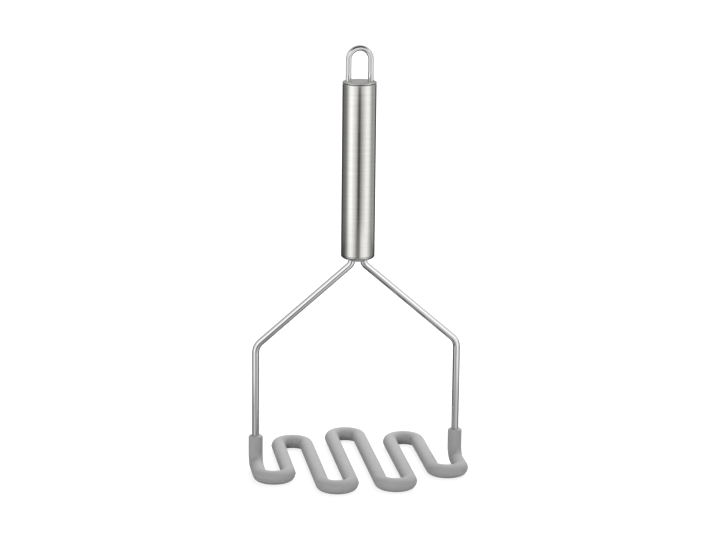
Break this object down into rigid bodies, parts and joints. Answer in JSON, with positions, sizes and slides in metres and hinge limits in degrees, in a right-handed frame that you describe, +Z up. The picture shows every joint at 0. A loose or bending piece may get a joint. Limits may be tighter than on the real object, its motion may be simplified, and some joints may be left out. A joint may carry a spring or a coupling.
{
  "type": "potato masher",
  "caption": "Hand masher: a serpentine wire head in a silicone sleeve, on a forked wire frame with a round steel handle and a hanging loop.",
  "frame": {"origin": "on the surface the head stands on, under the middle of the head and on the handle's axis", "axes": "+Z up along the handle from the head to the hanging loop, +X across the head from leg to leg, -Y towards the front bends that the legs turn into"},
  "size_m": [0.1226, 0.1058, 0.242],
  "materials": {
    "drawn_wire": "bright drawn stainless wire",
    "silicone": "matte moulded silicone, neutral grey",
    "brushed_stainless": "satin brushed stainless steel",
    "weld_metal": "bare weld metal, inside the handle"
  },
  "bodies": {
    "root": {"frame_wire": "drawn_wire", "silicone_sleeve": "silicone", "lower_end_cap": "brushed_stainless", "frame_weld_beads": "weld_metal", "handle_tube": "brushed_stainless", "top_end_cap": "brushed_stainless", "hanging_loop": "drawn_wire", "loop_weld_beads": "weld_metal"}
  },
  "joints": []
}
